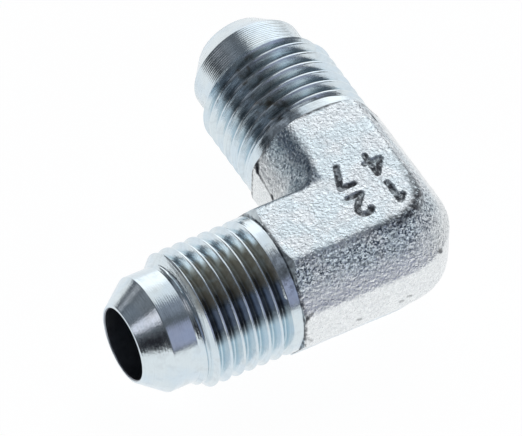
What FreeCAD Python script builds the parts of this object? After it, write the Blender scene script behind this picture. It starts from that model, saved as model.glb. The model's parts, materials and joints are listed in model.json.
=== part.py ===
import FreeCAD, Part
import os
import Sketcher

# Union elbow for hydraulic tube, two 37 degree flared ends at a right angle.
# One steel forging: an eight-sided elbow whose two ends are turned, threaded and drilled.
# The origin is where the two bore axes cross. Leg A runs along -X and leg B along +Y.
# All sizes are in millimetres and degrees.

DRIVING_SIZES = [
    # Forged body
    ("body_across_flats", 14.3, "distance between the upper and lower flats, and between the side bands"),
    ("bevel_angle", 33.2, "how far the normal of each bevel rises above the side band's normal"),
    ("shoulder_reach", 12.05, "from the crossing of the axes to each machined shoulder"),
    ("forging_radius", 1.0, "rounding of the long forged edges and of the corner between the legs"),
    ("shoulder_chamfer_dia", 14.6, "where the turned chamfer of the body's corners starts on the shoulder"),
    ("shoulder_chamfer_angle", 36.0, "slope of that chamfer against the shoulder"),
    # Turned ends
    ("centre_to_end", 28.2, "from the crossing of the axes to each nose"),
    ("nose_dia", 8.1, "outer diameter of the flat nose ring"),
    ("seat_angle", 37.0, "half angle of the flare seat"),
    ("pilot_dia", 12.0, "plain turned land between the seat and the thread"),
    ("thread_dia", 14.2, "major diameter of the thread and diameter of the plain shank"),
    ("thread_start", 5.25, "from the nose to the first thread"),
    ("thread_lead_angle", 45.0, "slope of the chamfer on the first thread"),
    # Bores
    ("bore_dia", 7.5, "drilled bore"),
    ("bore_overrun", 1.5, "how far each bore's full diameter passes the crossing"),
    ("drill_point_angle", 118.0, "point angle of the drill"),
    ("bore_mouth_chamfer", 0.1, "broken edge at the mouth of the bore"),
]

doc = FreeCAD.newDocument("hydraulic_elbow_adapter")
sizes = doc.addObject("Spreadsheet::Sheet", "sizes")
for row, (alias, value, meaning) in enumerate(DRIVING_SIZES, start=1):
    sizes.set(f"A{row}", meaning)
    sizes.set(f"B{row}", str(value))
    sizes.setAlias(f"B{row}", alias)
doc.recompute()

# Values that follow from the driving sizes, written as expressions on the sheet
HALF = "(sizes.body_across_flats / 2)"
TOP_HALF = f"({HALF} * (1 - sin(sizes.bevel_angle)) / cos(sizes.bevel_angle))"
BAND_HALF = f"({HALF} * (1 - cos(sizes.bevel_angle)) / sin(sizes.bevel_angle))"
PILOT_RADIUS = "(sizes.pilot_dia / 2)"
NOSE_RADIUS = "(sizes.nose_dia / 2)"
THREAD_RADIUS = "(sizes.thread_dia / 2)"
BORE_RADIUS = "(sizes.bore_dia / 2)"
SEAT_START = f"(sizes.centre_to_end - ({PILOT_RADIUS} - {NOSE_RADIUS}) / tan(sizes.seat_angle))"
THREAD_START = "(sizes.centre_to_end - sizes.thread_start)"
LEAD_END = f"({THREAD_START} - ({THREAD_RADIUS} - {PILOT_RADIUS}) / tan(sizes.thread_lead_angle))"
CHAMFER_RADIUS = "(sizes.shoulder_chamfer_dia / 2)"
CLEAR_OF_BODY = f"(2 * {HALF})"
CHAMFER_END = (f"(sizes.shoulder_reach"
               f" - ({CLEAR_OF_BODY} - {CHAMFER_RADIUS}) * tan(sizes.shoulder_chamfer_angle))")
DRILL_TIP = f"(sizes.bore_overrun + {BORE_RADIUS} / tan(sizes.drill_point_angle / 2))"


def value_of(expression):
    """Number that an expression on the sheet gives."""
    result = sizes.evalExpression(expression)
    return float(getattr(result, "Value", result))


def origin_plane(body, role):
    for feature in body.Origin.OriginFeatures:
        if feature.Role == role:
            return feature
    raise RuntimeError(f"no origin plane {role}")


def outline_sketch(body, name, plane, corners):
    """Closed outline through corners, each given as two expressions on the sheet."""
    sketch = body.newObject("Sketcher::SketchObject", name)
    sketch.AttachmentSupport = (origin_plane(body, plane), "")
    sketch.MapMode = "FlatFace"
    points = [FreeCAD.Vector(value_of(across), value_of(along), 0) for across, along in corners]
    count = len(points)
    for index in range(count):
        sketch.addGeometry(Part.LineSegment(points[index], points[(index + 1) % count]), False)
    for index in range(count):
        following = (index + 1) % count
        sketch.addConstraint(Sketcher.Constraint("Coincident", index, 2, following, 1))
    for index, (across, along) in enumerate(corners):
        for kind, expression, axis in (("DistanceX", across, -2), ("DistanceY", along, -1)):
            if expression == "0":
                sketch.addConstraint(Sketcher.Constraint("PointOnObject", index, 1, axis))
                continue
            number = sketch.addConstraint(
                Sketcher.Constraint(kind, -1, 1, index, 1, value_of(expression)))
            sketch.renameConstraint(number, f"{kind}_{index}")
            sketch.setExpression(f".Constraints.{kind}_{index}", expression)
    return sketch


def add_feature(body, kind, name, profile, **settings):
    feature = body.newObject(f"PartDesign::{kind}", name)
    feature.Profile = profile
    for key, value in settings.items():
        setattr(feature, key, value)
    doc.recompute()
    return feature


def minus(expression):
    """The same distance the other way."""
    if expression == "0":
        return "0"
    return expression[1:] if expression.startswith("-") else f"-{expression}"


def eight_sided_section():
    """Corners of the forged section, clockwise from the upper flat's left end."""
    upper = [(minus(TOP_HALF), HALF), (TOP_HALF, HALF), (HALF, BAND_HALF), (HALF, minus(BAND_HALF))]
    lower = [(TOP_HALF, minus(HALF)), (minus(TOP_HALF), minus(HALF)),
             (minus(HALF), minus(BAND_HALF)), (minus(HALF), BAND_HALF)]
    return upper + lower


def half_section():
    """Right half of the forged section, which turns about the vertical axis at the heel."""
    return [("0", HALF), (TOP_HALF, HALF), (HALF, BAND_HALF), (HALF, minus(BAND_HALF)),
            (TOP_HALF, minus(HALF)), ("0", minus(HALF))]


def on_leg(leg, profile):
    """Place a profile of (distance from the crossing, radius) pairs on one leg, in plan."""
    if leg == "a":
        return [(minus(reach), radius) for reach, radius in profile]
    return [(radius, reach) for reach, radius in profile]


def spin_axis(sketch, leg):
    """Line of the sketch that the leg's turned shapes spin about."""
    return (sketch, ["H_Axis"]) if leg == "a" else (sketch, ["V_Axis"])


def forged_elbow(body):
    """Two eight-sided legs, and the same section turned about the vertical axis at the heel."""
    leg_a = outline_sketch(body, "leg_a_section", "YZ_Plane", eight_sided_section())
    pad_a = add_feature(body, "Pad", "leg_a_forging", leg_a, Reversed=True)
    pad_a.setExpression("Length", "sizes.shoulder_reach")
    leg_b = outline_sketch(body, "leg_b_section", "XZ_Plane", eight_sided_section())
    pad_b = add_feature(body, "Pad", "leg_b_forging", leg_b, Reversed=True)
    pad_b.setExpression("Length", "sizes.shoulder_reach")
    heel = outline_sketch(body, "heel_section", "XZ_Plane", half_section())
    turn = add_feature(body, "Revolution", "heel_forging", heel,
                       ReferenceAxis=(heel, ["V_Axis"]), Angle=90.0, Reversed=True)
    doc.recompute()
    return turn


def is_crotch_edge(edge):
    """Edges of the inner corner, where the two legs meet on the plane x = -y."""
    tolerance = 0.01
    ends = [edge.firstVertex().Point, edge.lastVertex().Point]
    on_mitre = all(abs(point.x + point.y) < tolerance for point in ends)
    return on_mitre and all(point.x < -tolerance for point in ends)


def is_long_edge(edge):
    """Edges that run along the legs or round the heel, where two forged flats meet."""
    tolerance = 0.01
    reach = value_of("sizes.shoulder_reach")
    level = abs(edge.firstVertex().Point.z - edge.lastVertex().Point.z) < tolerance
    ends = [edge.firstVertex().Point, edge.lastVertex().Point]
    in_one_shoulder = (all(abs(point.x + reach) < tolerance for point in ends)
                       or all(abs(point.y - reach) < tolerance for point in ends))
    return level and not in_one_shoulder


def round_edges(body, base):
    """One radius on every long forged edge and in the corner between the legs."""
    names = [f"Edge{index}" for index, edge in enumerate(base.Shape.Edges, start=1)
             if is_long_edge(edge) or is_crotch_edge(edge)]
    feature = body.newObject("PartDesign::Fillet", "forging_rounding")
    feature.Base = (base, names)
    feature.setExpression("Radius", "sizes.forging_radius")
    doc.recompute()
    return feature


def turned_shoulder(body, leg):
    """Conical chamfer that facing the shoulder leaves on the corners of the forged section."""
    profile = [("sizes.shoulder_reach", CHAMFER_RADIUS), ("sizes.shoulder_reach", CLEAR_OF_BODY),
               (CHAMFER_END, CLEAR_OF_BODY)]
    sketch = outline_sketch(body, f"shoulder_{leg}_profile", "XY_Plane", on_leg(leg, profile))
    return add_feature(body, "Groove", f"shoulder_{leg}_chamfer", sketch,
                       ReferenceAxis=spin_axis(sketch, leg), Angle=360.0)


def turned_end(body, leg):
    """Shank, thread, plain land, flare seat and nose ring of one leg, turned about its axis."""
    profile = [("0", "0"), ("0", THREAD_RADIUS), (LEAD_END, THREAD_RADIUS),
               (THREAD_START, PILOT_RADIUS), (SEAT_START, PILOT_RADIUS),
               ("sizes.centre_to_end", NOSE_RADIUS), ("sizes.centre_to_end", "0")]
    sketch = outline_sketch(body, f"end_{leg}_profile", "XY_Plane", on_leg(leg, profile))
    return add_feature(body, "Revolution", f"end_{leg}_turning", sketch,
                       ReferenceAxis=spin_axis(sketch, leg), Angle=360.0)


def drilled_bore(body, leg):
    """Bore with a broken edge at its mouth and a drill point past the crossing."""
    mouth_start = "(sizes.centre_to_end - sizes.bore_mouth_chamfer)"
    mouth_radius = f"({BORE_RADIUS} + sizes.bore_mouth_chamfer)"
    profile = [(minus(DRILL_TIP), "0"), (minus("sizes.bore_overrun"), BORE_RADIUS),
               (mouth_start, BORE_RADIUS), ("sizes.centre_to_end", mouth_radius),
               ("sizes.centre_to_end", "0")]
    sketch = outline_sketch(body, f"bore_{leg}_profile", "XY_Plane", on_leg(leg, profile))
    return add_feature(body, "Groove", f"bore_{leg}", sketch,
                       ReferenceAxis=spin_axis(sketch, leg), Angle=360.0)


elbow = doc.addObject("PartDesign::Body", "elbow_body")
elbow.Label = "elbow_body"
elbow.Placement = FreeCAD.Placement()

forging = forged_elbow(elbow)
rounded = round_edges(elbow, forging)
for leg in ("a", "b"):
    turned_shoulder(elbow, leg)
for leg in ("a", "b"):
    turned_end(elbow, leg)
for leg in ("a", "b"):
    drilled_bore(elbow, leg)
doc.recompute()

for item in doc.Objects:
    if "Invalid" in item.State or "Error" in item.State:
        raise RuntimeError(f"{item.Label} did not compute: {item.State}")
if elbow.Shape.isNull() or not elbow.Shape.isValid():
    raise RuntimeError("elbow_body has no valid shape")
box = elbow.Shape.BoundBox
print("elbow_body", len(elbow.Shape.Solids), "solid", round(elbow.Shape.Volume, 1), "mm3")
print("box", [round(number, 2) for number in (box.XMin, box.XMax, box.YMin, box.YMax, box.ZMin, box.ZMax)])

os.makedirs("parts", exist_ok=True)
elbow.Shape.exportStep(f"parts/{elbow.Label}.step")
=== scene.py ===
from collections import namedtuple
import json
import math

import bmesh
import bpy
from mathutils import Matrix, Vector, noise


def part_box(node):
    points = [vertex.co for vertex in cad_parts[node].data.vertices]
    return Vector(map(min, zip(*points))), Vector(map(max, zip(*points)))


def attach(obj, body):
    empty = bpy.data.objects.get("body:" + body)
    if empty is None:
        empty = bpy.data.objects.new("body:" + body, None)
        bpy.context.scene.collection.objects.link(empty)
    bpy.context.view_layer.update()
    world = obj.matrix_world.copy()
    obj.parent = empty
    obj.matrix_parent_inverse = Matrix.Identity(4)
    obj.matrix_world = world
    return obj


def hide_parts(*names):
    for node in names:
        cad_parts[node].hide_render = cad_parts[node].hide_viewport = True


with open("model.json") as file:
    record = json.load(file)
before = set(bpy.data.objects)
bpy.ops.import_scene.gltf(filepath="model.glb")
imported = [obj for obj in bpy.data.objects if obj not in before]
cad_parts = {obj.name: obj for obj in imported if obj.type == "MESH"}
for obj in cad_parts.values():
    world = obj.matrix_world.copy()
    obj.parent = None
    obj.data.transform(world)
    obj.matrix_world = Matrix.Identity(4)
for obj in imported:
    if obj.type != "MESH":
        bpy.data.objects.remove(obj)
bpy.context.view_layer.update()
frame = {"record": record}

# Forms are worked out in millimetres on the frame's own axes: leg A lies along -X, leg B along +Y,
# and the bores cross at the origin. The finished mesh is scaled to metres once.
MM = 0.001
NODE = "elbow_body"
PIECE = "plated_elbow"
MOUNTS = {mount["name"]: mount for mount in frame["record"]["mounts"]}


def mount_radius(name):
    return MOUNTS[name]["dims"]["r_mm"]


def mount_ends(name):
    """Both ends of a mount along its own axis, measured from the crossing of the bores."""
    mount = MOUNTS[name]
    middle = Vector(mount["pos_m"]).dot(Vector(mount["axis"])) / MM
    half = mount["dims"]["length_mm"] / 2
    return middle - half, middle + half


# Sizes that the frame gives.
LEG_AXES = [Vector(MOUNTS[name]["axis"]) for name in ("port_a_thread", "port_b_thread")]
SHOULDER, LEAD_START = mount_ends("port_a_thread")
LEAD_END, SEAT_START = mount_ends("port_a_land")
NOSE_END = -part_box(NODE)[0][0] / MM
THREAD_RADIUS = mount_radius("port_a_thread")
LAND_RADIUS = mount_radius("port_a_land")
BORE_RADIUS = mount_radius("port_a_bore")
BODY_HALF = MOUNTS["upper_wrench_flat"]["pos_m"][2] / MM

# Forged body. Between the legs the level lines of its skin turn round a corner, whose radius and
# stretch towards leg B grow with each millimetre away from the inner side. The rows of the corner
# start and end at its reach along the legs.
BEVEL_ANGLE = 33.2
FORGING_RADIUS = 0.95
INNER_FORGING_RADIUS = 1.4
CROTCH_RADIUS = 0.6
CROTCH_SPREAD = 0.6
CROTCH_STRETCH = 0.22
CORNER_REACH = 9.3
CORNER_ROWS = 48
ROUNDING_STEPS = 6
FORGING_SPARE = 0.6
SKIN_SPACING = 0.16

# Faced shoulders, turned ends and drilled bores. The facing tool reaches past the body's corners, and
# each turned end has a stub inside the forging, so that the two solids overlap.
FACING_RADIUS = 7.3
FACING_ANGLE = 36
FACING_REACH = 8.6
FACING_DEPTH = 2.0
STUB_RADIUS = 6.6
STUB_DEPTH = 0.75
SHANK_SINK = 0.02
NOSE_RADIUS = 4.05
EDGE_SOFTENING = 0.06
MOUTH_CHAMFER = 0.1
BORE_OVERRUN = 1.5
DRILL_POINT_ANGLE = 118
SIDES = 132

# Unified fine thread, 18 to the inch. The rows of its mesh lie at shares of the pitch either side of a
# crest, and each leg has a crest at its own place at the top, whole pitches apart from there.
PITCH = 25.4 / 18
THREAD_DEPTH = 0.866
CREST_HALF = PITCH / 16
FLANK_RUN = THREAD_DEPTH * math.tan(math.radians(30))
CREST_ROUNDING = 0.05
ROOT_ROUNDING = 0.2
HALF_PITCH_ROWS = (0.035, 0.055, 0.08, 0.11, 0.36, 0.395, 0.43)
RUNOUT_START = 13.1
RUNOUT_END = 13.6
PLAIN_SHANK_END = 12.95
CREST_PLACES = (0.62, 1.10)


def smooth_step(low, high, value):
    share = min(1.0, max(0.0, (value - low) / (high - low)))
    return share * share * (3 - 2 * share)


def soft_min(first, second, rounding):
    """The smaller of two values, with the corner between them rounded."""
    gap = max(rounding - abs(first - second), 0.0) / rounding
    return min(first, second) - gap * gap * rounding / 4


def soft_max(first, second, rounding):
    return -soft_min(-first, -second, rounding)


# Face slots: forged skin, turned metal and drilled bore.
SKIN, TURNED, BORE = range(3)


# Mesh building.

def object_from(mesh):
    piece = bpy.data.objects.new(mesh.name, mesh)
    bpy.context.scene.collection.objects.link(piece)
    return piece


def ring_faces(rows, sides):
    """Quads between neighbouring closed rings, whose points are numbered ring by ring."""
    faces = []
    for row in range(rows - 1):
        for side in range(sides):
            following = (side + 1) % sides
            faces.append((row * sides + side, row * sides + following,
                          (row + 1) * sides + following, (row + 1) * sides + side))
    return faces


def closed_mesh(name, points, faces, slot):
    """A closed mesh with outward normals, every face in one material slot."""
    mesh = bpy.data.meshes.new(name)
    mesh.from_pydata(points, [], faces)
    work = bmesh.new()
    work.from_mesh(mesh)
    bmesh.ops.remove_doubles(work, verts=work.verts, dist=0.0005)
    bmesh.ops.dissolve_degenerate(work, edges=work.edges, dist=0.0005)
    bmesh.ops.recalc_face_normals(work, faces=work.faces)
    for face in work.faces:
        face.material_index = slot
    work.to_mesh(mesh)
    work.free()
    for material in FINISHES:
        mesh.materials.append(material)
    return mesh


def modified(mesh, kind, **settings):
    """The mesh after one modifier."""
    piece = object_from(mesh)
    modifier = piece.modifiers.new(kind.lower(), kind)
    for setting, value in settings.items():
        setattr(modifier, setting, value)
    result = bpy.data.meshes.new_from_object(piece.evaluated_get(bpy.context.evaluated_depsgraph_get()))
    bpy.data.objects.remove(piece)
    return result


def boolean(mesh, tool_mesh, operation):
    tool = object_from(tool_mesh)
    result = modified(mesh, "BOOLEAN", operation=operation, object=tool, solver="MANIFOLD")
    bpy.data.objects.remove(tool)
    return result


def joined(name, meshes):
    """Separate closed meshes as the islands of one mesh."""
    work = bmesh.new()
    for mesh in meshes:
        work.from_mesh(mesh)
    result = bpy.data.meshes.new(name)
    work.to_mesh(result)
    work.free()
    for material in FINISHES:
        result.materials.append(material)
    return result


# The forged body: one eight-sided section carried along both legs and round the corner.

def section_outline():
    """The rounded eight-sided section as points (out, up) all the way round."""
    half_turn = (0, BEVEL_ANGLE, 90, 180 - BEVEL_ANGLE, 180)
    normals = half_turn + tuple(180 + angle for angle in half_turn[1:])
    outline = []
    for first, second in zip(normals, normals[1:]):
        middle = math.radians((first + second) / 2)
        rounding = FORGING_RADIUS if math.cos(middle) > 0 else INNER_FORGING_RADIUS
        reach = (BODY_HALF - rounding) / math.cos(math.radians((second - first) / 2))
        for step in range(ROUNDING_STEPS + 1):
            angle = math.radians(first + (second - first) * step / ROUNDING_STEPS)
            outline.append((reach * math.cos(middle) + rounding * math.cos(angle),
                            reach * math.sin(middle) + rounding * math.sin(angle)))
    return outline


def corner_path(centre, radius, stretch=1.0):
    """A level line of the skin: along leg A, round a corner drawn out towards leg B, along leg B."""
    straight_a = CORNER_REACH - centre
    straight_b = straight_a - radius * (stretch - 1)
    arc = radius * math.pi / 2 * (1 + stretch) / 2
    forging_end = SHOULDER + FORGING_SPARE
    path = [(-forging_end, centre - radius)]
    for step in range(CORNER_ROWS + 1):
        along = (straight_a + arc + straight_b) * step / CORNER_ROWS
        if along < straight_a:
            path.append((along - CORNER_REACH, centre - radius))
        elif along < straight_a + arc:
            turn = math.pi / 2 * (along - straight_a) / arc
            path.append((radius * math.sin(turn) - centre,
                         centre - radius + stretch * radius * (1 - math.cos(turn))))
        else:
            path.append((radius - centre, CORNER_REACH - straight_b + along - straight_a - arc))
    return path + [(radius - centre, forging_end)]


def inner_corner(out):
    """Centre, radius and stretch of the level line between the legs, which tightens to the crotch."""
    rise = BODY_HALF + out
    radius = CROTCH_RADIUS + CROTCH_SPREAD * rise
    return radius - out, radius, 1 + CROTCH_STRETCH * rise


def forged_blank():
    """The forging with its flats, bevels and roundings, still plain and a little too long."""
    lines = []
    for out, up in section_outline():
        path = corner_path(0.0, out) if out > 0 else corner_path(*inner_corner(out))
        lines.append([(x, y, up) for x, y in path])
    rows = len(lines[0])
    sides = len(lines)
    points = [lines[side][row] for row in range(rows) for side in range(sides)]
    faces = ring_faces(rows, sides)
    faces.append(tuple(range(sides)))
    faces.append(tuple((rows - 1) * sides + side for side in range(sides)))
    return closed_mesh("forging", points, faces, SKIN)


# Marks struck into the upper flat: plain numbers that mean nothing, two over two.

MARK_HEIGHT = 2.6
MARK_HALF_STROKE = 0.34
MARK_DEPTH = 0.17
MARK_COLUMNS = (1.45, -2.3)
MARK_ROWS = (-0.7, 3.3)
MARK_FIELD = (3.3, 3.6)
MARK_FIELD_DEPTH = 0.3
MARK_LIP = 0.018
MARK_LIP_WIDTH = 0.14


def digit_strokes(digit):
    """Straight strokes of a digit in a box one high, centred at the origin."""
    hook_radius, hook_start, hook_turn, hook_steps = 0.26, 165, 205, 7
    hook = []
    for step in range(hook_steps + 1):
        turn = math.radians(hook_start - hook_turn * step / hook_steps)
        hook.append((hook_radius * math.cos(turn), 0.24 + hook_radius * math.sin(turn)))
    lines = {
        1: [[(-0.2, 0.27), (0.04, 0.5), (0.04, -0.5)]],
        2: [hook + [(-0.28, -0.5), (0.3, -0.5)]],
        4: [[(0.34, -0.14), (-0.32, -0.14), (0.14, 0.5), (0.14, -0.5)]],
        7: [[(-0.28, 0.5), (0.3, 0.5), (-0.08, -0.5)]],
    }
    return [pair for line in lines[digit] for pair in zip(line, line[1:])]


def mark_strokes():
    """All strokes on the flat, as pairs of points. The digits read along -X, their tops towards -Y."""
    strokes = []
    for row, digits in zip(MARK_ROWS, ((1, 2), (4, 7))):
        for column, digit in zip(MARK_COLUMNS, digits):
            middle = Vector((column, row))
            for start, end in digit_strokes(digit):
                strokes.append((middle - Vector(start) * MARK_HEIGHT, middle - Vector(end) * MARK_HEIGHT))
    return strokes


def distance_to(point, start, end):
    """Distance from a point to a segment, in the plane or in space."""
    along = end - start
    share = (point - start).dot(along) / max(along.length_squared, 1e-9)
    return (point - start - along * min(1.0, max(0.0, share))).length


def near_marks(point):
    return (abs(point.x - sum(MARK_COLUMNS) / 2) < MARK_FIELD[0]
            and abs(point.y - sum(MARK_ROWS) / 2) < MARK_FIELD[1]
            and point.z > BODY_HALF - MARK_FIELD_DEPTH)


def stroke_gap(point, wobble, rate):
    """Distance to the middle of the nearest struck stroke, made uneven by noise."""
    gap = min(distance_to(point.xy, start, end) for start, end in MARK_STROKES)
    return gap + wobble * noise.noise(point * rate)


def mark_sink(point):
    """How far the struck marks lower the flat here, with the metal pushed up a little beside them."""
    if not near_marks(point):
        return 0.0
    gap = stroke_gap(point, wobble=0.05, rate=3.1)
    floor = 1 - smooth_step(MARK_HALF_STROKE * 0.35, MARK_HALF_STROKE * 1.15, gap)
    lip = math.exp(-((gap - MARK_HALF_STROKE * 1.45) / MARK_LIP_WIDTH) ** 2)
    return MARK_DEPTH * floor - MARK_LIP * lip


def mark_soil(point):
    """How dark the soil is at a point that a struck mark has already lowered."""
    if not near_marks(point + Vector((0, 0, MARK_DEPTH))):
        return 0.0
    gap = stroke_gap(point, wobble=0.1, rate=2.7)
    patchy = 0.45 + 0.55 * smooth_step(-0.25, 0.2, noise.noise(point * 1.7))
    return patchy * (1 - smooth_step(MARK_HALF_STROKE * 0.5, MARK_HALF_STROKE * 1.3, gap))


MARK_STROKES = mark_strokes()

# A short scratch in the forged skin, in millimetres.
Nick = namedtuple("Nick", "start end half_width depth")
NICKS = [
    # Beside the shoulder on leg A's outer side.
    Nick(Vector((-11.95, -6.9, 1.95)), Vector((-11.75, -6.95, 2.0)), 0.2, 0.16),
    Nick(Vector((-11.75, -6.95, 2.0)), Vector((-11.2, -7.05, 2.35)), 0.1, 0.08),
    # A crack along leg B's inner side, with a nick at each end.
    Nick(Vector((-6.75, 11.75, 2.8)), Vector((-7.0, 11.3, 2.4)), 0.14, 0.15),
    Nick(Vector((-7.0, 11.3, 2.4)), Vector((-7.1, 8.1, 1.9)), 0.07, 0.075),
    Nick(Vector((-7.15, 8.15, 1.95)), Vector((-7.15, 7.95, 1.8)), 0.16, 0.16),
    # On leg B's outer bevel, and on the heel.
    Nick(Vector((5.4, 10.45, 4.8)), Vector((5.55, 10.05, 4.6)), 0.26, 0.16),
    Nick(Vector((3.7, -6.1, 2.45)), Vector((3.8, -5.85, 2.1)), 0.2, 0.1),
    # Faint scratches low on leg A's outer side.
    Nick(Vector((-11.9, -7.15, -0.75)), Vector((-11.2, -7.15, -1.6)), 0.12, 0.05),
    Nick(Vector((-6.1, -7.15, -1.3)), Vector((-5.7, -7.15, -1.45)), 0.1, 0.06),
    Nick(Vector((-1.35, -7.15, -1.25)), Vector((-1.0, -7.15, -1.35)), 0.1, 0.06),
    Nick(Vector((-0.5, -7.15, -1.0)), Vector((-0.1, -7.15, -1.08)), 0.1, 0.06),
]
BLACK_NICK_DEPTH = 0.12


def nick_depth(point):
    """Depth of the deepest nick here, in millimetres."""
    deepest = 0.0
    for nick in NICKS:
        gap = distance_to(point, nick.start, nick.end)
        deepest = max(deepest, nick.depth * (1 - smooth_step(0, nick.half_width * 1.4, gap)))
    return deepest


def nick_soil(point):
    """How dark the soil is at a point that a nick has already lowered."""
    darkest = 0.0
    for nick in NICKS:
        gap = distance_to(point, nick.start, nick.end) - nick.depth
        filled = 1 - smooth_step(nick.half_width * 0.3, nick.half_width * 1.3, gap)
        darkest = max(darkest, filled * min(1.0, nick.depth / BLACK_NICK_DEPTH))
    return darkest


# Relief of the forged skin: heights in millimetres, and how often each form comes per millimetre.
WAVE_HEIGHT = 0.035
WAVE_RATE = 0.33
LUMP_HEIGHT = 0.014
LUMP_RATE = 2.4
PIT_DEPTH = 0.03
PIT_RATE = 2.9
FLAT_NORMALS = (0.8, 0.97)
FLAT_SMOOTHING = 0.45
SIDE_NORMALS = (0.2, 0.45)
SIDE_SMOOTHING = 0.7


def forged_relief(point, normal):
    """Height of the forged skin over the plain form: slow waves, lumps, pits, marks and nicks."""
    flat_share = smooth_step(*FLAT_NORMALS, abs(normal.z))
    side_share = 1 - smooth_step(*SIDE_NORMALS, abs(normal.z))
    rough_share = 1 - FLAT_SMOOTHING * flat_share - SIDE_SMOOTHING * side_share
    wave = WAVE_HEIGHT * noise.noise(point * WAVE_RATE)
    lumps = LUMP_HEIGHT * rough_share * noise.fractal(point * LUMP_RATE, 0.5, 2.1, 2)
    pit_noise = noise.noise(point * PIT_RATE + Vector((7, 3, 5)))
    pits = PIT_DEPTH * rough_share * smooth_step(0.15, 0.5, pit_noise)
    return wave + lumps - pits - mark_sink(point) - nick_depth(point)


def refined_marks(mesh):
    """Halves the spacing of the skin round the struck marks."""
    work = bmesh.new()
    work.from_mesh(mesh)
    edges = [edge for edge in work.edges if all(near_marks(vert.co) for vert in edge.verts)]
    bmesh.ops.subdivide_edges(work, edges=edges, cuts=1, use_grid_fill=True)
    work.to_mesh(mesh)
    work.free()
    return mesh


def rough_forging():
    """The blank with an even fine skin, roughened as forging and blasting leave it."""
    mesh = modified(forged_blank(), "REMESH", mode="VOXEL", voxel_size=SKIN_SPACING)
    mesh = refined_marks(mesh)
    moves = [vert.normal * forged_relief(vert.co, vert.normal) for vert in mesh.vertices]
    for vert, move in zip(mesh.vertices, moves):
        vert.co += move
    for face in mesh.polygons:
        face.material_index = SKIN
    return mesh


# Turned work. A leg's rings turn right-handed about its outward axis, from the top.

def on_leg(axis, reach, radius, turn):
    """A point at a distance out along a leg, a radius and an angle from the top."""
    side = axis.cross(Vector((0, 0, 1)))
    return axis * reach + Vector((0, 0, radius * math.cos(turn))) + side * radius * math.sin(turn)


def lathe_rings(axis, profile):
    """The rings of a turned form whose profile is a list of (reach, radius)."""
    return [on_leg(axis, reach, radius, 2 * math.pi * side / SIDES)
            for reach, radius in profile for side in range(SIDES)]


def lathe(name, axis, profile, slot):
    """A closed turned solid with a flat cap at each end of its profile."""
    rows = len(profile)
    faces = ring_faces(rows, SIDES)
    faces.append(tuple(range(SIDES)))
    faces.append(tuple((rows - 1) * SIDES + side for side in range(SIDES)))
    return closed_mesh(name, lathe_rings(axis, profile), faces, slot)


def facing_tool(axis):
    """What the facing cut takes off: all beyond the shoulder, and the corners outside its cone."""
    back = (FACING_REACH - FACING_RADIUS) * math.tan(math.radians(FACING_ANGLE))
    profile = [(SHOULDER, 1.0), (SHOULDER, FACING_RADIUS), (SHOULDER - back, FACING_REACH),
               (SHOULDER + FACING_DEPTH, FACING_REACH), (SHOULDER + FACING_DEPTH, 1.0)]
    return lathe("facing", axis, profile, TURNED)


def thread_radius(place, reach):
    """Radius of the thread at a place along its own lead, cut back by the run-out and the lead chamfer."""
    offset = abs((place / PITCH + 0.5) % 1.0 - 0.5) * PITCH
    fall = soft_max(0.0, (offset - CREST_HALF) / FLANK_RUN, CREST_ROUNDING)
    fall = soft_min(fall, 1.0, ROOT_ROUNDING)
    depth = THREAD_DEPTH * fall * smooth_step(RUNOUT_START, RUNOUT_END, reach)
    lead = LAND_RADIUS + (LEAD_END - reach) * (THREAD_RADIUS - LAND_RADIUS) / (LEAD_END - LEAD_START)
    return soft_min(THREAD_RADIUS - depth, lead, EDGE_SOFTENING)


def thread_part(axis, crest):
    """Points and faces of the thread, on rows that follow its lead from the shank to the land."""
    pattern = (0.0,) + HALF_PITCH_ROWS + (0.5,) + tuple(1 - share for share in reversed(HALF_PITCH_ROWS))
    first = math.floor((PLAIN_SHANK_END - crest) / PITCH) - 1
    last = math.ceil((LEAD_END - crest) / PITCH) + 1
    places = [PITCH * (turn + share) for turn in range(first, last) for share in pattern]
    rows = len(places)
    points = []
    for place in places:
        for side in range(SIDES):
            reach = crest + place + PITCH * side / SIDES
            reach = min(LEAD_END, max(PLAIN_SHANK_END, reach))
            points.append(on_leg(axis, reach, thread_radius(place, reach), 2 * math.pi * side / SIDES))
    faces = []
    for row in range(rows - 1):
        for side in range(SIDES - 1):
            corner = row * SIDES + side
            faces.append((corner, corner + 1, corner + 1 + SIDES, corner + SIDES))
        seam = (row + len(pattern)) * SIDES
        if row + len(pattern) < rows - 1:
            corner = row * SIDES + SIDES - 1
            faces.append((corner, seam, seam + SIDES, corner + SIDES))
    return points, faces


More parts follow.
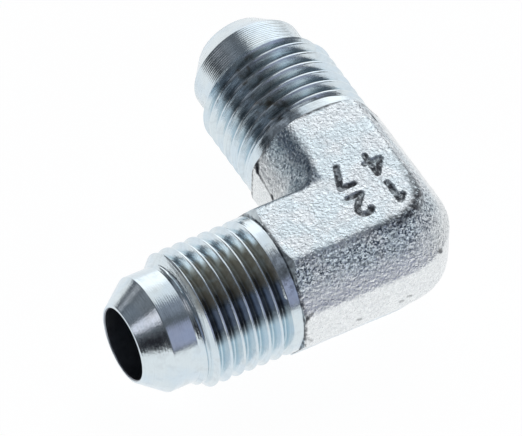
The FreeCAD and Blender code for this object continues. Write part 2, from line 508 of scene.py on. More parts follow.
def turned_end(axis, crest):
    """A threaded end: stub inside the forging, plain shank, thread, land, seat cone and nose."""
    inner = SHOULDER - STUB_DEPTH
    under = SHOULDER - SHANK_SINK
    soft = EDGE_SOFTENING
    seat_slope = (LAND_RADIUS - NOSE_RADIUS) / (NOSE_END - SEAT_START)
    shank = [(inner, STUB_RADIUS), (under, STUB_RADIUS), (under, THREAD_RADIUS),
             (PLAIN_SHANK_END, THREAD_RADIUS)]
    nose = [(LEAD_END, LAND_RADIUS), (SEAT_START - 2 * soft, LAND_RADIUS), (SEAT_START - soft, LAND_RADIUS),
            (SEAT_START, LAND_RADIUS - soft * seat_slope / 4),
            (SEAT_START + soft, LAND_RADIUS - soft * seat_slope),
            (SEAT_START + 2 * soft, LAND_RADIUS - 2 * soft * seat_slope),
            (NOSE_END - soft, NOSE_RADIUS + soft * seat_slope),
            (NOSE_END - soft / 2, NOSE_RADIUS + soft / 2 * seat_slope), (NOSE_END, NOSE_RADIUS - soft / 2)]
    points, faces = thread_part(axis, crest)
    for profile in (shank, nose):
        start = len(points)
        points.extend(lathe_rings(axis, profile))
        faces.extend(tuple(start + number for number in face) for face in ring_faces(len(profile), SIDES))
    stub_cap = len(points) - (len(nose) + len(shank)) * SIDES
    nose_cap = len(points) - SIDES
    faces.append(tuple(range(stub_cap, stub_cap + SIDES)))
    faces.append(tuple(range(nose_cap, nose_cap + SIDES)))
    return closed_mesh("turned_end", points, faces, TURNED)


def drill(axis):
    """A drilled bore from its mouth to the drill point past the crossing."""
    point_length = BORE_RADIUS / math.tan(math.radians(DRILL_POINT_ANGLE / 2))
    mouth = BORE_RADIUS + MOUTH_CHAMFER
    clear = 0.5
    tip = 0.02
    profile = [(NOSE_END + clear, mouth + clear), (NOSE_END, mouth),
               (NOSE_END - MOUTH_CHAMFER, BORE_RADIUS), (-BORE_OVERRUN, BORE_RADIUS),
               (-BORE_OVERRUN - point_length, tip)]
    return lathe("bore", axis, profile, BORE)


def soften_shading(mesh):
    """Smooth shading, with crisp edges where the skin is cut and where turned faces meet at an angle."""
    mesh.shade_smooth()
    work = bmesh.new()
    work.from_mesh(mesh)
    crisp_angle = math.radians(32)
    for edge in work.edges:
        if len(edge.link_faces) == 2:
            first, second = edge.link_faces
            cut = first.material_index != second.material_index
            bent = first.material_index != SKIN and edge.calc_face_angle(0.0) > crisp_angle
            edge.smooth = not (cut or bent)
    work.to_mesh(mesh)
    work.free()


def elbow_mesh():
    """The adapter as it is made: forged, faced, turned and threaded, then drilled."""
    mesh = rough_forging()
    mesh = boolean(mesh, joined("facings", [facing_tool(axis) for axis in LEG_AXES]), "DIFFERENCE")
    ends = [turned_end(axis, crest) for axis, crest in zip(LEG_AXES, CREST_PLACES)]
    mesh = boolean(mesh, joined("turned_ends", ends), "UNION")
    for axis in LEG_AXES:
        mesh = boolean(mesh, drill(axis), "DIFFERENCE")
    soften_shading(mesh)
    mesh.transform(Matrix.Scale(MM, 4))
    return mesh


# Materials.

# A pattern of noise: the size of its features in millimetres, the range of noise that is eased in, the
# shares that the two ends of that range get, and how fine and rough the noise is.
Pattern = namedtuple("Pattern", "size low high least most detail roughness", defaults=(0.0, 1.0, 2, 0.5))

# A strip along a leg, in degrees: its turn from the top, and how far either side it is full and gone.
Zone = namedtuple("Zone", "turn full gone")


class Shading:
    """A short way to write a node tree: each call adds a node and returns one output."""

    def __init__(self, tree):
        self.tree = tree
        tree.nodes.clear()

    def add(self, kind, *inputs, **settings):
        node = self.tree.nodes.new(kind)
        for setting, value in settings.items():
            setattr(node, setting, value)
        for socket, value in zip(node.inputs, inputs):
            self.feed(socket, value)
        return node

    def feed(self, socket, value):
        if isinstance(value, bpy.types.NodeSocket):
            self.tree.links.new(value, socket)
        elif value is not None:
            socket.default_value = value

    def object_place(self):
        """The point's place on the object, in metres."""
        return self.add("ShaderNodeTexCoord").outputs["Object"]

    def parts_of(self, vector):
        """The three coordinates of a vector."""
        split = self.add("ShaderNodeSeparateXYZ", vector)
        return split.outputs["X"], split.outputs["Y"], split.outputs["Z"]

    def math(self, operation, *values):
        return self.add("ShaderNodeMath", *values, operation=operation).outputs[0]

    def product(self, first, *others):
        for other in others:
            first = self.math("MULTIPLY", first, other)
        return first

    def hypotenuse(self, first, second):
        return self.math("SQRT", self.math("ADD", self.product(first, first), self.product(second, second)))

    def dot(self, vector, direction):
        return self.add("ShaderNodeVectorMath", vector, tuple(direction),
                        operation="DOT_PRODUCT").outputs["Value"]

    def noise(self, vector, size, detail=2.0, roughness=0.5):
        """Noise whose features are about a size in millimetres across."""
        node = self.add("ShaderNodeTexNoise")
        self.feed(node.inputs["Vector"], vector)
        node.inputs["Scale"].default_value = 1 / (size * MM)
        node.inputs["Detail"].default_value = detail
        node.inputs["Roughness"].default_value = roughness
        return node.outputs["Fac"]

    def pattern(self, vector, pattern):
        """The share that a pattern gives at each point."""
        level = self.noise(vector, pattern.size, pattern.detail, pattern.roughness)
        return self.spread(level, pattern.low, pattern.high, pattern.least, pattern.most)

    def pits(self, vector, size):
        """Round pits about a size in millimetres apart, with some places left smooth."""
        cells = self.add("ShaderNodeTexVoronoi")
        self.feed(cells.inputs["Vector"], vector)
        cells.inputs["Scale"].default_value = 1 / (size * MM)
        hollow = self.spread(cells.outputs["Distance"], *PIT_EDGE, 1.0, 0.0)
        return self.product(hollow, self.pattern(vector, Pattern(size * 2, *PIT_SPREAD)))

    def spread(self, value, low, high, least=0.0, most=1.0):
        """A value from one range into another, eased at both ends."""
        node = self.add("ShaderNodeMapRange", value, low, high, least, most,
                        interpolation_type="SMOOTHSTEP")
        return node.outputs[0]

    def ease(self, length, low, high, least=0.0, most=1.0):
        """The same for a length, with its range in millimetres."""
        return self.spread(length, low * MM, high * MM, least, most)

    def band(self, length, start, full, fading, end):
        """1 where a length is between two values, 0 outside two wider ones, all in millimetres."""
        return self.product(self.ease(length, start, full), self.ease(length, end, fading))

    def mix(self, share, first, second):
        """A colour between two others: the first at share 0, the second at 1."""
        node = self.add("ShaderNodeMix", data_type="RGBA")
        self.feed(node.inputs["Factor"], share)
        for name, value in (("A", first), ("B", second)):
            socket = next(s for s in node.inputs if s.name == name and s.type == "RGBA")
            self.feed(socket, value)
        return next(s for s in node.outputs if s.type == "RGBA")

    def blend(self, share, first, second):
        """The same for two plain numbers or two node values."""
        plain = not isinstance(first, bpy.types.NodeSocket)
        change = second - first if plain else self.math("SUBTRACT", second, first)
        return self.math("MULTIPLY_ADD", share, change, first)

    def bump(self, height, distance, normal=None):
        """A normal tilted by a height, whose full range stands for a distance in millimetres."""
        node = self.add("ShaderNodeBump")
        node.inputs["Strength"].default_value = 1.0
        node.inputs["Distance"].default_value = distance * MM
        self.feed(node.inputs["Height"], height)
        self.feed(node.inputs["Normal"], normal)
        return node.outputs["Normal"]

    def metal(self, color, roughness, normal):
        node = self.add("ShaderNodeBsdfPrincipled")
        node.inputs["Metallic"].default_value = 1.0
        self.feed(node.inputs["Base Color"], color)
        self.feed(node.inputs["Roughness"], roughness)
        self.feed(node.inputs["Normal"], normal)
        self.add("ShaderNodeOutputMaterial", node.outputs[0])


def new_material(name):
    material = bpy.data.materials.new(name)
    material.use_nodes = True
    return material, Shading(material.node_tree)


# Colours of the zinc, of what soils it, and of the shade painted on it.
ZINC = (0.69, 0.77, 0.81, 1)
ZINC_BLUE = (0.65, 0.75, 0.82, 1)
ZINC_GROOVE_SHADE = (0.50, 0.64, 0.72, 1)
ZINC_WORN = (0.34, 0.37, 0.41, 1)
ZINC_INNER_SHADE = (0.20, 0.32, 0.40, 1)
SKIN_WARM = (0.90, 0.96, 1.0, 1)
SKIN_BLUE = (0.83, 0.94, 1.0, 1)
SKIN_PALE = (0.89, 0.92, 0.93, 1)
SKIN_DULL = (0.50, 0.55, 0.60, 1)
BORE_DARK = (0.16, 0.17, 0.19, 1)
BORE_PALE = (0.42, 0.46, 0.52, 1)
PIT_DARK_AND_SHADE = (0.06, 0.085, 0.13, 1)
SOIL_AND_SHADE = (0.065, 0.07, 0.08, 1)
OLIVE = (0.38, 0.355, 0.275, 1)
BROWN = (0.20, 0.165, 0.115, 1)


# The forged skin.

SKIN_PATCHES = Pattern(2.2, 0.4, 0.62, detail=3)
SKIN_SPECKS = Pattern(0.4, 0.46, 0.7, most=0.32, detail=4, roughness=0.7)
SKIN_ROUGHNESS = Pattern(0.5, 0.35, 0.7, 0.23, 0.36, detail=3)
PIT_CLUSTERS = Pattern(1.7, 0.36, 0.58, 0.6, 1.0)
PIT_GRAIN = Pattern(0.27, 0.49, 0.57, roughness=0.6)
BEVEL_GRIME = Pattern(0.45, 0.48, 0.66, detail=3, roughness=0.65)
# This and the next two break up painted shade along the skin's edges and a painted reflection at the heel.
INNER_EDGE_SHADE_BREAKUP = Pattern(0.3, 0.38, 0.56, 0.3, 0.85, detail=3, roughness=0.6)
RIM_SHADE_AND_DIRT = Pattern(0.5, 0.38, 0.55, 0.25, 0.85)
HEEL_REFLECTION_BREAKUP = Pattern(0.5, 0.38, 0.56, 0.25, 0.95, detail=3, roughness=0.6)

# Places on the skin, in millimetres: heights, and distances to the inner and the outer side. Of two,
# a look starts to change at the first and has changed at the second. Four are the same for a band:
# it starts, is full, starts to fade and ends.
GREYER_BELOW = (5.4, 2.6)
BEVEL_FOOT = (3.0, 5.6)
BEVEL_TOP = (6.85, 7.12)
UNDERSIDE = (-3.0, 1.0)
INNER_SIDE = (2.8, 4.0)
INNER_EDGE = (3.7, 4.15, 4.5, 5.3)
INNER_EDGE_HEIGHT = (4.6, 5.6)
RIM_WIDTH = (0.42, 0.12)
HEEL_EDGE = (2.9, 3.7, 4.0, 4.7)
HEEL_EDGE_HEIGHT = (5.5, 6.2)
HEEL_CORNER = (2.7, -2.7, 7.0)
HEEL_REFLECTION_REACH = (9.0, 0.8)

# Pits and relief: sizes and heights in millimetres, and how strong each is where.
PIT_SIZE = 0.31
PIT_EDGE = (0.16, 0.42)
PIT_SPREAD = (0.38, 0.56)
PIT_DARKNESS = 0.6
PIT_RELIEF = 0.07
LUMP_SIZE = 0.28
LUMP_RELIEF = 0.12
BLAST_SIZE = 0.13
BLAST_RELIEF = 0.025
SHARE_OFF_BEVELS = 0.12
SHARE_UNDERNEATH = 0.45
GRIME_OUTSIDE = 0.3
GRIME_INSIDE = 0.55
# How strongly painted shade darkens the inner bevels.
INNER_BEVEL_SHADE = 0.35
BEVEL_LUMPS = 1.8


class SkinPlace:
    """Where a point of the skin lies: its height, how far out along a leg it is, and how far towards
    the inner or the outer side of the elbow."""

    def __init__(self, shade, place):
        east, toward_b, self.up = shade.parts_of(place)
        toward_a = shade.math("MULTIPLY", east, -1.0)
        self.height = shade.math("ABSOLUTE", self.up)
        self.reach = shade.math("MAXIMUM", toward_a, toward_b)
        self.inner = shade.math("MINIMUM", toward_a, toward_b)
        self.outer = shade.hypotenuse(shade.math("MAXIMUM", east, 0.0), shade.math("MINIMUM", toward_b, 0.0))


def bevel_share(shade, spot):
    """1 on the upper bevels, little on the flats and the sides, and less on the lower bevels."""
    above_sides = shade.ease(spot.height, *BEVEL_FOOT, SHARE_OFF_BEVELS, 1.0)
    below_flat = shade.ease(spot.height, *BEVEL_TOP, 1.0, SHARE_OFF_BEVELS)
    return shade.product(above_sides, below_flat, shade.ease(spot.up, *UNDERSIDE, SHARE_UNDERNEATH, 1.0))


def clean_skin(shade, place, spot):
    """Zinc in bluer and warmer patches, greyer down the sides, with dull specks."""
    tint = shade.mix(shade.pattern(place, SKIN_PATCHES), SKIN_BLUE, SKIN_WARM)
    tint = shade.mix(shade.ease(spot.height, *GREYER_BELOW), tint, SKIN_PALE)
    return shade.mix(shade.pattern(place, SKIN_SPECKS), tint, SKIN_DULL)


def pitted_bevels(shade, place, spot, bevel, pits, tint):
    """The skin with dark pits, grain and grime on its bevels, and painted shade on the inner ones between
    the legs.
    """
    tint = shade.mix(shade.product(pits, PIT_DARKNESS), tint, PIT_DARK_AND_SHADE)
    grain = shade.product(shade.pattern(place, PIT_GRAIN), shade.pattern(place, PIT_CLUSTERS), bevel)
    tint = shade.mix(grain, tint, PIT_DARK_AND_SHADE)
    inner = shade.ease(spot.inner, *INNER_SIDE)
    grime = shade.product(shade.pattern(place, BEVEL_GRIME), bevel,
                          shade.blend(inner, GRIME_OUTSIDE, GRIME_INSIDE))
    tint = shade.mix(grime, tint, PIT_DARK_AND_SHADE)
    # Painted shade: the inner bevels, between the legs, darker.
    return shade.mix(shade.product(inner, bevel, INNER_BEVEL_SHADE), tint, ZINC_INNER_SHADE)


def painted_edge_shade(shade, place, spot, tint):
    """The skin with painted shade: a dark line along the upper flat's inner edge, and a dark rim, partly
    grainy dirt, where the facing cut starts.
    """
    # Painted shade along the upper flat's inner edge.
    inner_edge_shade = shade.product(shade.band(spot.inner, *INNER_EDGE), shade.ease(spot.up, *INNER_EDGE_HEIGHT),
                               shade.pattern(place, INNER_EDGE_SHADE_BREAKUP))
    tint = shade.mix(inner_edge_shade, tint, PIT_DARK_AND_SHADE)
    # Painted shade with grainy dirt in a thin rim beside the shoulder's corner.
    rim_start, rim_full = RIM_WIDTH
    rim = shade.product(shade.ease(spot.reach, SHOULDER - rim_start, SHOULDER - rim_full),
                        shade.pattern(place, RIM_SHADE_AND_DIRT))
    return shade.mix(rim, tint, SOIL_AND_SHADE)


def heel_edge_reflection(shade, place, spot):
    """How dark the painted reflection is along the upper flat's rounded outer edge, fading away from the
    heel's corner.
    """
    corner = tuple(side * MM for side in HEEL_CORNER)
    apart = shade.add("ShaderNodeVectorMath", place, corner, operation="DISTANCE").outputs["Value"]
    return shade.product(shade.band(spot.outer, *HEEL_EDGE), shade.ease(spot.up, *HEEL_EDGE_HEIGHT),
                         shade.ease(apart, *HEEL_REFLECTION_REACH), shade.pattern(place, HEEL_REFLECTION_BREAKUP))


def skin_relief(shade, place, bevel, pits):
    """Normal of the blasted skin: lumps that are stronger on the bevels, pits, then fine grain."""
    lumps = shade.product(shade.noise(place, LUMP_SIZE, 2, 0.6), shade.blend(bevel, 1.0, BEVEL_LUMPS))
    pitted = shade.bump(pits, -PIT_RELIEF, shade.bump(lumps, LUMP_RELIEF))
    return shade.bump(shade.noise(place, BLAST_SIZE, 1), BLAST_RELIEF, pitted)


def forged_zinc():
    """Thin pale blue zinc over the blasted skin of the forging, dark in the pits, marks and nicks, with
    painted shade and reflection on edges.
    """
    material, shade = new_material("forged_zinc")
    place = shade.object_place()
    spot = SkinPlace(shade, place)
    bevel = bevel_share(shade, spot)
    pits = shade.product(shade.pits(place, PIT_SIZE), bevel)
    tint = clean_skin(shade, place, spot)
    tint = pitted_bevels(shade, place, spot, bevel, pits, tint)
    tint = painted_edge_shade(shade, place, spot, tint)
    struck = shade.add("ShaderNodeAttribute", attribute_name="soil").outputs["Fac"]
    # The soil of the struck marks and nicks, and the painted dark reflection along the heel's edge.
    color = shade.mix(shade.math("MAXIMUM", struck, heel_edge_reflection(shade, place, spot)), tint, SOIL_AND_SHADE)
    shade.metal(color, shade.pattern(place, SKIN_ROUGHNESS), skin_relief(shade, place, bevel, pits))
    return material


# The turned ends, their stained threads and the shade painted on them.

TURNED_PATCHES = Pattern(3.0, 0.38, 0.62)
TURNED_ROUGHNESS = Pattern(0.8, 0.3, 0.7, 0.13, 0.21, detail=3)
WORN_PATCHES = Pattern(0.9, 0.48, 0.7, most=0.13)
WORN_RINGS = Pattern(0.08, 0.46, 0.68, most=0.13, roughness=0.7)
# The next pattern breaks up the painted shade on the threads.
UNEVEN_THREAD_SHADE = Pattern(0.9, 0.3, 0.65, 1.0, 0.8, detail=3, roughness=0.6)
UNEVEN_OLIVE = Pattern(0.9, 0.32, 0.6, 0.6, 0.95, detail=3, roughness=0.6)
BROWN_PATCHES = Pattern(1.2, 0.5, 0.62, most=0.7)
GRIT = Pattern(0.17, 0.48, 0.6, most=0.5, detail=3, roughness=0.7)
# The next pattern breaks up the painted shade in the shoulder's corner.
SHOULDER_SHADE_BREAKUP = Pattern(0.5, 0.35, 0.6, 0.4, 1.0)
SMUDGE_SOIL = Pattern(0.6, 0.42, 0.6, most=0.5, detail=3, roughness=0.6)

# Strips along the legs. Negative turns are on the side that the photo shows.
# Painted shade in the threads' grooves and on their back flanks.
THREAD_SHADE_ZONE = Zone(-47, 17, 28)
OLIVE_ZONE = Zone(-17, 13, 24)
OLIVE_GROOVES = Zone(-6, 16, 24)
BROWN_ZONE = Zone(-29, 7, 17)
GRIT_ZONE = Zone(-34, 24, 38)
# Painted shade in the tool grooves of leg B's land.
VALLEY_SHADE_ZONE = Zone(-48, 10, 18)
SMUDGE_ZONE = Zone(-30, 8, 28)

# The stains and the painted shade fade out at the thread's ends, in millimetres. A groove is full from the
# second of two shares of the thread's depth, and a flank from the second of two leans of its normal along
# the leg.
STAIN_EASE = 0.3
STAIN_ON_LEAD = 0.5
GROOVE_DEPTHS = (0.45, 0.92)
FLANK_TILTS = (0.25, 0.7)

# How strongly each stain and each painted shade covers the zinc.
DEEP_GROOVE_SHADE = 0.8
GROOVE_SHADE = 0.95
GROOVE_SHADE_ON_B = 0.5
BACK_FLANK_SHADE = 0.7
LEAST_THREAD_SHADE = 0.1
BACK_FLANK_OLIVE = 0.6
GROOVE_OLIVE = 0.85
OLIVE_ON_B = 0.25
VALLEY_SHADE = 0.6
CORNER_SHADE = 0.85
CORNER_SHADE_STEPS = (-0.1, 0.0, 0.02, 0.14)
SMUDGE_REACH = 2.8
GRIT_FLATTENING = 0.12

# Tool marks: sizes and heights in millimetres, how strong they are where, and how much rougher the
# metal is where it was faced or has the olive film.
TOOL_FEED = 0.23
GROOVE_RELIEF = 0.004
RING_SIZE = 0.12
RING_RELIEF = 0.014
SCUFF_SIZE = 0.3
SCUFF_RELIEF = 0.012
PLAIN_GROOVES = 0.35
RIDGED_GROOVES = 1.85
RINGS_ON_B = 1.5
GROOVE_VALLEY = (0.6, -0.9)
LAND_EASE = 0.05
FACED_DEPTHS = (0.02, 0.1)
FACED_ROUGHNESS = 0.3
OLIVE_ROUGHNESS = 0.42

# The bores.
BORE_ROUGHNESS = 0.35
BORE_PATCH_SIZE = 1.5
DRILL_RING_SIZE = 0.15
DRILL_RING_RELIEF = 0.01


class LegPlace:
    """Where a point of a turned end lies: how far out, on which leg, and how far round it."""

    def __init__(self, shade, place):
        self.shade = shade
        east, outward_b, self.height = shade.parts_of(place)
        outward_a = shade.math("MULTIPLY", east, -1.0)
        self.reach = shade.math("MAXIMUM", outward_a, outward_b)
        self.on_b = shade.math("GREATER_THAN", outward_b, outward_a)
        self.on_a = shade.math("SUBTRACT", 1.0, self.on_b)
        self.across = shade.math("ADD", shade.product(outward_b, self.on_a), shade.product(east, self.on_b))
        self.radius = shade.hypotenuse(self.across, self.height)

    def around(self, zone):
        """1 in a zone along the leg, easing to 0 at its sides."""
        turn = math.radians(zone.turn)
        toward = self.shade.math("ADD", self.shade.product(self.across, math.sin(turn)),
                                 self.shade.product(self.height, math.cos(turn)))
        cosine = self.shade.math("DIVIDE", toward, self.radius)
        full, gone = (math.cos(math.radians(angle)) for angle in (zone.full, zone.gone))
        return self.shade.spread(cosine, gone, full)

    def rings(self):
        """A place that changes along the leg alone, for marks that run right round it."""
        return self.shade.add("ShaderNodeCombineXYZ", self.reach, 0.0, 0.0).outputs[0]


class ThreadPlace:
    """Where a point of the thread lies: in a groove, or on a flank that faces the nose or the body."""

    def __init__(self, shade, spot):
        self.share = shade.band(spot.reach, RUNOUT_START - STAIN_EASE, RUNOUT_END,
                                LEAD_START - STAIN_EASE, LEAD_START + STAIN_ON_LEAD)
        depth = shade.math("SUBTRACT", THREAD_RADIUS * MM, spot.radius)
        self.groove = shade.ease(depth, *(share * THREAD_DEPTH for share in GROOVE_DEPTHS))
        east, outward_b, _ = shade.parts_of(shade.add("ShaderNodeTexCoord").outputs["Normal"])
        tilt = shade.blend(spot.on_b, shade.math("MULTIPLY", east, -1.0), outward_b)
        self.nose_flank = shade.spread(tilt, *FLANK_TILTS)
        self.back_flank = shade.spread(tilt, *(-tilted for tilted in FLANK_TILTS))


def thread_shade_and_grime(shade, place, spot, thread):
    """Painted shade, broken up like grime, low on the side: over leg A's grooves and back flanks, in leg B's
    grooves alone.
    """
    on_grooves = shade.product(thread.groove, GROOVE_SHADE)
    cover = shade.math("MAXIMUM", on_grooves, shade.product(thread.back_flank, BACK_FLANK_SHADE))
    cover = shade.product(shade.math("MAXIMUM", cover, LEAST_THREAD_SHADE), spot.on_a)
    cover = shade.math("MAXIMUM", cover, shade.product(thread.groove, GROOVE_SHADE_ON_B))
    return shade.product(cover, spot.around(THREAD_SHADE_ZONE), shade.pattern(place, UNEVEN_THREAD_SHADE), thread.share)


def olive_film(shade, place, spot, thread):
    """An olive film above the grime, on the flanks and further up in the grooves, thin on leg B."""
    flanks = shade.math("MAXIMUM", thread.nose_flank, shade.product(thread.back_flank, BACK_FLANK_OLIVE))
    on_flanks = shade.product(spot.around(OLIVE_ZONE), flanks)
    in_grooves = shade.product(spot.around(OLIVE_GROOVES), thread.groove, GROOVE_OLIVE)
    return shade.product(shade.math("MAXIMUM", on_flanks, in_grooves), shade.pattern(place, UNEVEN_OLIVE),
                         thread.share, shade.blend(spot.on_a, OLIVE_ON_B, 1.0))


def leg_b_stains(shade, place, spot, thread, tint):
    """Leg B's thread with brown patches, and grit drawn out along its rings."""
    thread_b = shade.product(thread.share, spot.on_b)
    brown = shade.product(spot.around(BROWN_ZONE), shade.pattern(place, BROWN_PATCHES), thread_b)
    tint = shade.mix(brown, tint, BROWN)
    drawn_out = shade.add("ShaderNodeCombineXYZ", spot.reach,
                          shade.product(spot.height, GRIT_FLATTENING), 0.0).outputs[0]
    grit = shade.product(spot.around(GRIT_ZONE), shade.pattern(drawn_out, GRIT), thread_b)
    return shade.mix(grit, tint, SOIL_AND_SHADE)


def stained_and_shaded_thread(shade, place, spot, tint):
    """The zinc with the threads' stains and the painted shade in their grooves, and the share of the matt
    olive film.
    """
    thread = ThreadPlace(shade, spot)
    # Painted shade: darker, bluer zinc deep in every thread groove.
    tint = shade.mix(shade.product(thread.groove, thread.share, DEEP_GROOVE_SHADE), tint, ZINC_GROOVE_SHADE)
    # Painted shade in the grooves and on the back flanks, low on one side.
    tint = shade.mix(thread_shade_and_grime(shade, place, spot, thread), tint, SOIL_AND_SHADE)
    film = olive_film(shade, place, spot, thread)
    return leg_b_stains(shade, place, spot, thread, shade.mix(film, tint, OLIVE)), film


def ridged_share(shade, spot):
    """1 on leg B's land, where the tool's grooves stand out."""
    land = shade.band(spot.reach, LEAD_END - LAND_EASE, LEAD_END + LAND_EASE,
                      SEAT_START - 2 * LAND_EASE, SEAT_START)
    return shade.product(spot.on_b, land)


def corner_shade_and_smudge(shade, place, spot):
    """How dark the painted shade is in the corner at the shoulder, and where soil is smudged over the shank
    beside it.
    """
    corner = shade.product(shade.band(spot.reach, *(SHOULDER + step for step in CORNER_SHADE_STEPS)),
                           shade.pattern(place, SHOULDER_SHADE_BREAKUP), CORNER_SHADE)
    smudge = shade.product(spot.around(SMUDGE_ZONE),
                           shade.ease(spot.reach, SHOULDER + SMUDGE_REACH, SHOULDER),
                           shade.pattern(place, SMUDGE_SOIL))
    return shade.math("MAXIMUM", corner, smudge)


def tool_relief(shade, place, spot, wave, ridged):
    """Normal of the turned metal: the tool's even grooves, uneven rings, then scuffs."""
    feed = shade.bump(shade.product(wave, shade.blend(ridged, PLAIN_GROOVES, RIDGED_GROOVES)), GROOVE_RELIEF)
    rings = shade.product(shade.noise(spot.rings(), RING_SIZE, 2, 0.7),
                          shade.blend(spot.on_b, 1.0, RINGS_ON_B))
    rings = shade.bump(rings, RING_RELIEF, feed)
    return shade.bump(shade.noise(place, SCUFF_SIZE, 3, 0.6), SCUFF_RELIEF, rings)


def turned_zinc():
    """Bright zinc over turned steel: tool rings, stained threads, and painted shade in the grooves and the
    shoulder's corner.
    """
    material, shade = new_material("turned_zinc")
    place = shade.object_place()
    spot = LegPlace(shade, place)
    tint = shade.mix(shade.pattern(place, TURNED_PATCHES), ZINC_BLUE, ZINC)
    tint, film = stained_and_shaded_thread(shade, place, spot, tint)
    tint = shade.mix(shade.pattern(place, WORN_PATCHES), tint, ZINC_WORN)
    tint = shade.mix(shade.pattern(spot.rings(), WORN_RINGS), tint, ZINC_WORN)
    wave = shade.math("SINE", shade.product(spot.reach, 2 * math.pi / (TOOL_FEED * MM)))
    ridged = ridged_share(shade, spot)
    # Painted shade in the valleys of the tool's grooves on leg B's land, on one side only.
    painted_valley_shade = shade.product(shade.spread(wave, *GROOVE_VALLEY, 0.0, VALLEY_SHADE), ridged,
                            spot.around(VALLEY_SHADE_ZONE))
    tint = shade.mix(painted_valley_shade, tint, SOIL_AND_SHADE)
    # Painted shade in the corner at the shoulder, with smudged soil beside it.
    color = shade.mix(corner_shade_and_smudge(shade, place, spot), tint, SOIL_AND_SHADE)

    roughness = shade.pattern(place, TURNED_ROUGHNESS)
    faced = shade.ease(spot.reach, *(SHOULDER - depth for depth in FACED_DEPTHS))
    roughness = shade.math("MULTIPLY_ADD", faced, FACED_ROUGHNESS, roughness)
    roughness = shade.math("MULTIPLY_ADD", film, OLIVE_ROUGHNESS, roughness)
    shade.metal(color, roughness, tool_relief(shade, place, spot, wave, ridged))
    return material


def bore_zinc():
    """The drilled bore: zinc that reached in thinly, over rings left by the drill."""
    material, shade = new_material("bore_zinc")
    place = shade.object_place()
    rings = shade.noise(LegPlace(shade, place).rings(), DRILL_RING_SIZE)
    color = shade.mix(shade.noise(place, BORE_PATCH_SIZE, 3), BORE_DARK, BORE_PALE)
    shade.metal(color, BORE_ROUGHNESS, shade.bump(rings, DRILL_RING_RELIEF))
    return material


# One material for each way the surface was made, in the order of the face slots SKIN, TURNED and BORE.
FINISHES = (forged_zinc(), turned_zinc(), bore_zinc())


def add_soil(mesh):
    """Writes how dark each point of the skin is in the struck marks and the nicks."""
    layer = mesh.attributes.new("soil", "FLOAT", "POINT")
    for number, vert in enumerate(mesh.vertices):
        point = vert.co / MM
        layer.data[number].value = max(mark_soil(point), nick_soil(point))


def dress_elbow():
    mesh = elbow_mesh()
    add_soil(mesh)
    mesh.name = PIECE
    elbow = object_from(mesh)
    elbow.name = PIECE
    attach(elbow, "root")
    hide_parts(NODE)
    return elbow


# Camera, floor and light. Angles are in degrees, the camera's aim in millimetres and its distance in
# metres, as the floor's radius is.

CAMERA_AZIMUTH = -30.947
CAMERA_ELEVATION = 49.525
CAMERA_ROLL = 1.97
CAMERA_DISTANCE = 1.0
CAMERA_LENS = 706.5
AIM_RIGHT = -11.213
AIM_UP = 2.044
FLOOR_RADIUS = 1.6
FLOOR_CORNERS = 96
OWN_WHITE = 1.07
OWN_SHARE = 0.9
PAPER_DULL = (0.9, 0.9, 0.9, 1)
PAPER_WHITE = (0.93, 0.93, 0.93, 1)
PAPER_PATCH_SIZE = 40


def direction(azimuth, elevation):
    """The way towards an azimuth, where 0 is -Y and 90 is +X, and an elevation above level."""
    azimuth = math.radians(azimuth)
    elevation = math.radians(elevation)
    return Vector((math.sin(azimuth) * math.cos(elevation), -math.cos(azimuth) * math.cos(elevation),
                   math.sin(elevation)))


def add_camera():
    back = direction(CAMERA_AZIMUTH, CAMERA_ELEVATION)
    level = Vector((0, 0, 1)).cross(back).normalized()
    turn = Matrix.Rotation(math.radians(CAMERA_ROLL), 3, back)
    right = turn @ level
    up = turn @ back.cross(level)
    target = (right * AIM_RIGHT + up * AIM_UP) * MM
    lens = bpy.data.cameras.new("camera")
    lens.lens = CAMERA_LENS
    lens.clip_start = 0.05
    lens.clip_end = 10
    camera = bpy.data.objects.new("camera", lens)
    axes = Matrix((right, up, back)).transposed().to_4x4()
    camera.matrix_world = Matrix.Translation(target + back * CAMERA_DISTANCE) @ axes
    bpy.context.scene.collection.objects.link(camera)
    bpy.context.scene.camera = camera


def seen_directly(shade):
    """1 for rays from the camera and for those that a shiny or clear surface sends on."""
    path = shade.add("ShaderNodeLightPath")
    seen = shade.math("MAXIMUM", path.outputs["Is Camera Ray"], path.outputs["Is Glossy Ray"])
    return shade.math("MAXIMUM", seen, path.outputs["Is Transmission Ray"])


def floor_material():
    """White paper: nearly all its own white where it is seen, the rest lit, so a faint shadow stays."""
    material, shade = new_material("white_floor")
    paper = shade.mix(shade.noise(shade.object_place(), PAPER_PATCH_SIZE, 3), PAPER_DULL, PAPER_WHITE)
    lit = shade.add("ShaderNodeBsdfDiffuse", paper).outputs[0]
    own = shade.add("ShaderNodeEmission", (1, 1, 1, 1), OWN_WHITE).outputs[0]
    share = shade.product(seen_directly(shade), OWN_SHARE)
    shade.add("ShaderNodeOutputMaterial", shade.add("ShaderNodeMixShader", share, lit, own).outputs[0])
    return material


def add_floor(height):
    rim = []
    for corner in range(FLOOR_CORNERS):
        turn = 2 * math.pi * corner / FLOOR_CORNERS
        rim.append((FLOOR_RADIUS * math.cos(turn), FLOOR_RADIUS * math.sin(turn), height))
    mesh = bpy.data.meshes.new("floor")
    mesh.from_pydata(rim, [], [tuple(range(FLOOR_CORNERS))])
    mesh.materials.append(floor_material())
    object_from(mesh)


# A soft rectangle of light: the direction of its middle and its half sizes in degrees, the share of
# them that its edges fade over, and its colour.
Panel = namedtuple("Panel", "azimuth elevation half_width half_height softness color")

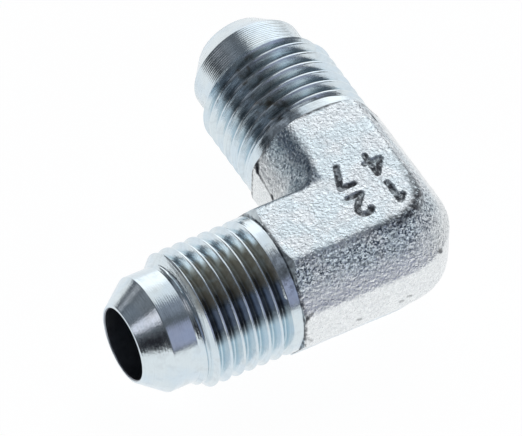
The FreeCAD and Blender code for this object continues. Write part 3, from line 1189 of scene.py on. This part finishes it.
# The panels, laid one over another on the walls of a plain room.
PANELS = [
    Panel(75, 70, 16, 9, 0.4, (0.30, 0.32, 0.37, 1)),
    Panel(24, 26, 20, 20.5, 0.3, (0.39, 0.41, 0.54, 1)),
    Panel(143, 29, 26, 41, 0.10, (0.95, 0.96, 0.97, 1)),
    Panel(143, 12, 26, 27, 0.25, (1.4, 1.4, 1.4, 1)),
    Panel(-57, 12, 12, 15, 0.35, (0.02, 0.02, 0.025, 1)),
    Panel(-125, 5, 12, 14, 0.3, (0.03, 0.035, 0.04, 1)),
    Panel(-128, 33, 17, 9, 0.4, (0.20, 0.215, 0.24, 1)),
    Panel(-143, 44, 8, 6, 0.5, (0.46, 0.48, 0.52, 1)),
    Panel(-149, 15, 5, 5, 0.5, (0.55, 0.55, 0.58, 1)),
    Panel(-87, 36, 9, 11, 0.35, (1.05, 1.0, 1.06, 1)),
]
WALLS = (0.13, 0.14, 0.155, 1)


def with_panel(shade, toward, panel, behind):
    """The light from each direction, with one panel laid over what is behind it."""
    front = direction(panel.azimuth, panel.elevation)
    side = Vector((0, 0, 1)).cross(front).normalized()
    rise = front.cross(side)
    depth = shade.math("MAXIMUM", shade.dot(toward, front), 0.001)
    shares = []
    for axis, half in ((side, panel.half_width), (rise, panel.half_height)):
        offset = shade.math("ABSOLUTE", shade.math("DIVIDE", shade.dot(toward, axis), depth))
        edge = math.tan(math.radians(half))
        fade = edge * panel.softness
        shares.append(shade.spread(offset, edge - fade, edge + fade, 1.0, 0.0))
    return shade.mix(shade.product(*shares), behind, panel.color)


def add_surroundings():
    """A plain studio as light from every side: grey walls, white and dim panels and a few dark gaps."""
    world = bpy.data.worlds.new("studio")
    world.use_nodes = True
    bpy.context.scene.world = world
    shade = Shading(world.node_tree)
    toward = shade.add("ShaderNodeTexCoord").outputs["Generated"]
    light = WALLS
    for panel in PANELS:
        light = with_panel(shade, toward, panel, light)
    background = shade.add("ShaderNodeBackground", light, 1.0).outputs[0]
    shade.add("ShaderNodeOutputWorld", background)


bpy.context.scene.view_settings.view_transform = "Standard"
elbow = dress_elbow()
add_floor(min(vert.co.z for vert in elbow.data.vertices))
add_surroundings()
add_camera()
